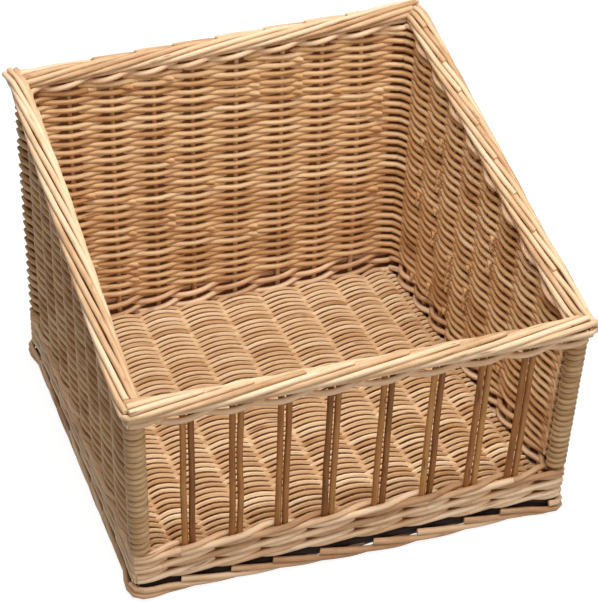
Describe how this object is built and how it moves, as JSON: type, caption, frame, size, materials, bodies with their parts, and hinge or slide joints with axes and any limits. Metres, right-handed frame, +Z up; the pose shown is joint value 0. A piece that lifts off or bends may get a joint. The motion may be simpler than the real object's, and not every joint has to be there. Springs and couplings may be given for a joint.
{
  "type": "wicker basket",
  "caption": "square woven willow basket with a high back, sides that slope down to a low front, a barred window between wrapped posts, and a thick plaited rim",
  "frame": {"origin": "on the ground, in the middle of the overall box", "axes": "+Z up; the low front with the window faces -Y, the high back is at +Y, +X is the basket's right as its front is looked at"},
  "size_m": [0.4566, 0.4539, 0.3582],
  "materials": {
    "border_willow": "peeled buff willow, smooth satin",
    "siding_willow": "thin buff willow rods, satin",
    "floor_willow": "pale buff willow rods, satin",
    "stick_willow": "stout willow sticks, satin",
    "wale_willow": "willow rods, satin",
    "foot_willow": "willow rods, satin",
    "post_willow": "stout willow sticks, satin",
    "wrap_willow": "close binding of thin willow, satin",
    "bar_willow": "grey-brown willow rods, satin"
  },
  "bodies": {
    "root": {"foot_front": "foot_willow", "foot_right": "foot_willow", "foot_back": "foot_willow", "foot_left": "foot_willow", "floor_mat": "floor_willow", "floor_stick_1": "stick_willow", "floor_stick_2": "stick_willow", "floor_stick_3": "stick_willow", "floor_stick_4": "stick_willow", "floor_stick_5": "stick_willow", "floor_stick_6": "stick_willow", "floor_stick_7": "stick_willow", "floor_stick_8": "stick_willow", "floor_stick_9": "stick_willow", "floor_stick_10": "stick_willow", "wale_front": "wale_willow", "wale_right": "wale_willow", "wale_back": "wale_willow", "wale_left": "wale_willow", "post_front_left": "post_willow", "post_front_right": "post_willow", "post_back_right": "post_willow", "post_back_left": "post_willow", "siding_right": "siding_willow", "siding_back": "siding_willow", "siding_left": "siding_willow", "bar_1_left": "bar_willow", "bar_1_right": "bar_willow", "bar_2_left": "bar_willow", "bar_2_right": "bar_willow", "bar_3_left": "bar_willow", "bar_3_right": "bar_willow", "bar_4_left": "bar_willow", "bar_4_right": "bar_willow", "bar_5_left": "bar_willow", "bar_5_right": "bar_willow", "bar_6_left": "bar_willow", "bar_6_right": "bar_willow", "bar_7_left": "bar_willow", "bar_7_right": "bar_willow", "bar_8_left": "bar_willow", "bar_8_right": "bar_willow", "wrap_front_left": "wrap_willow", "wrap_front_right": "wrap_willow", "upper_wale_front": "wale_willow", "upper_wale_right": "wale_willow", "upper_wale_back": "wale_willow", "upper_wale_left": "wale_willow", "border_front": "border_willow", "border_right": "border_willow", "border_back": "border_willow", "border_left": "border_willow"}
  },
  "joints": []
}
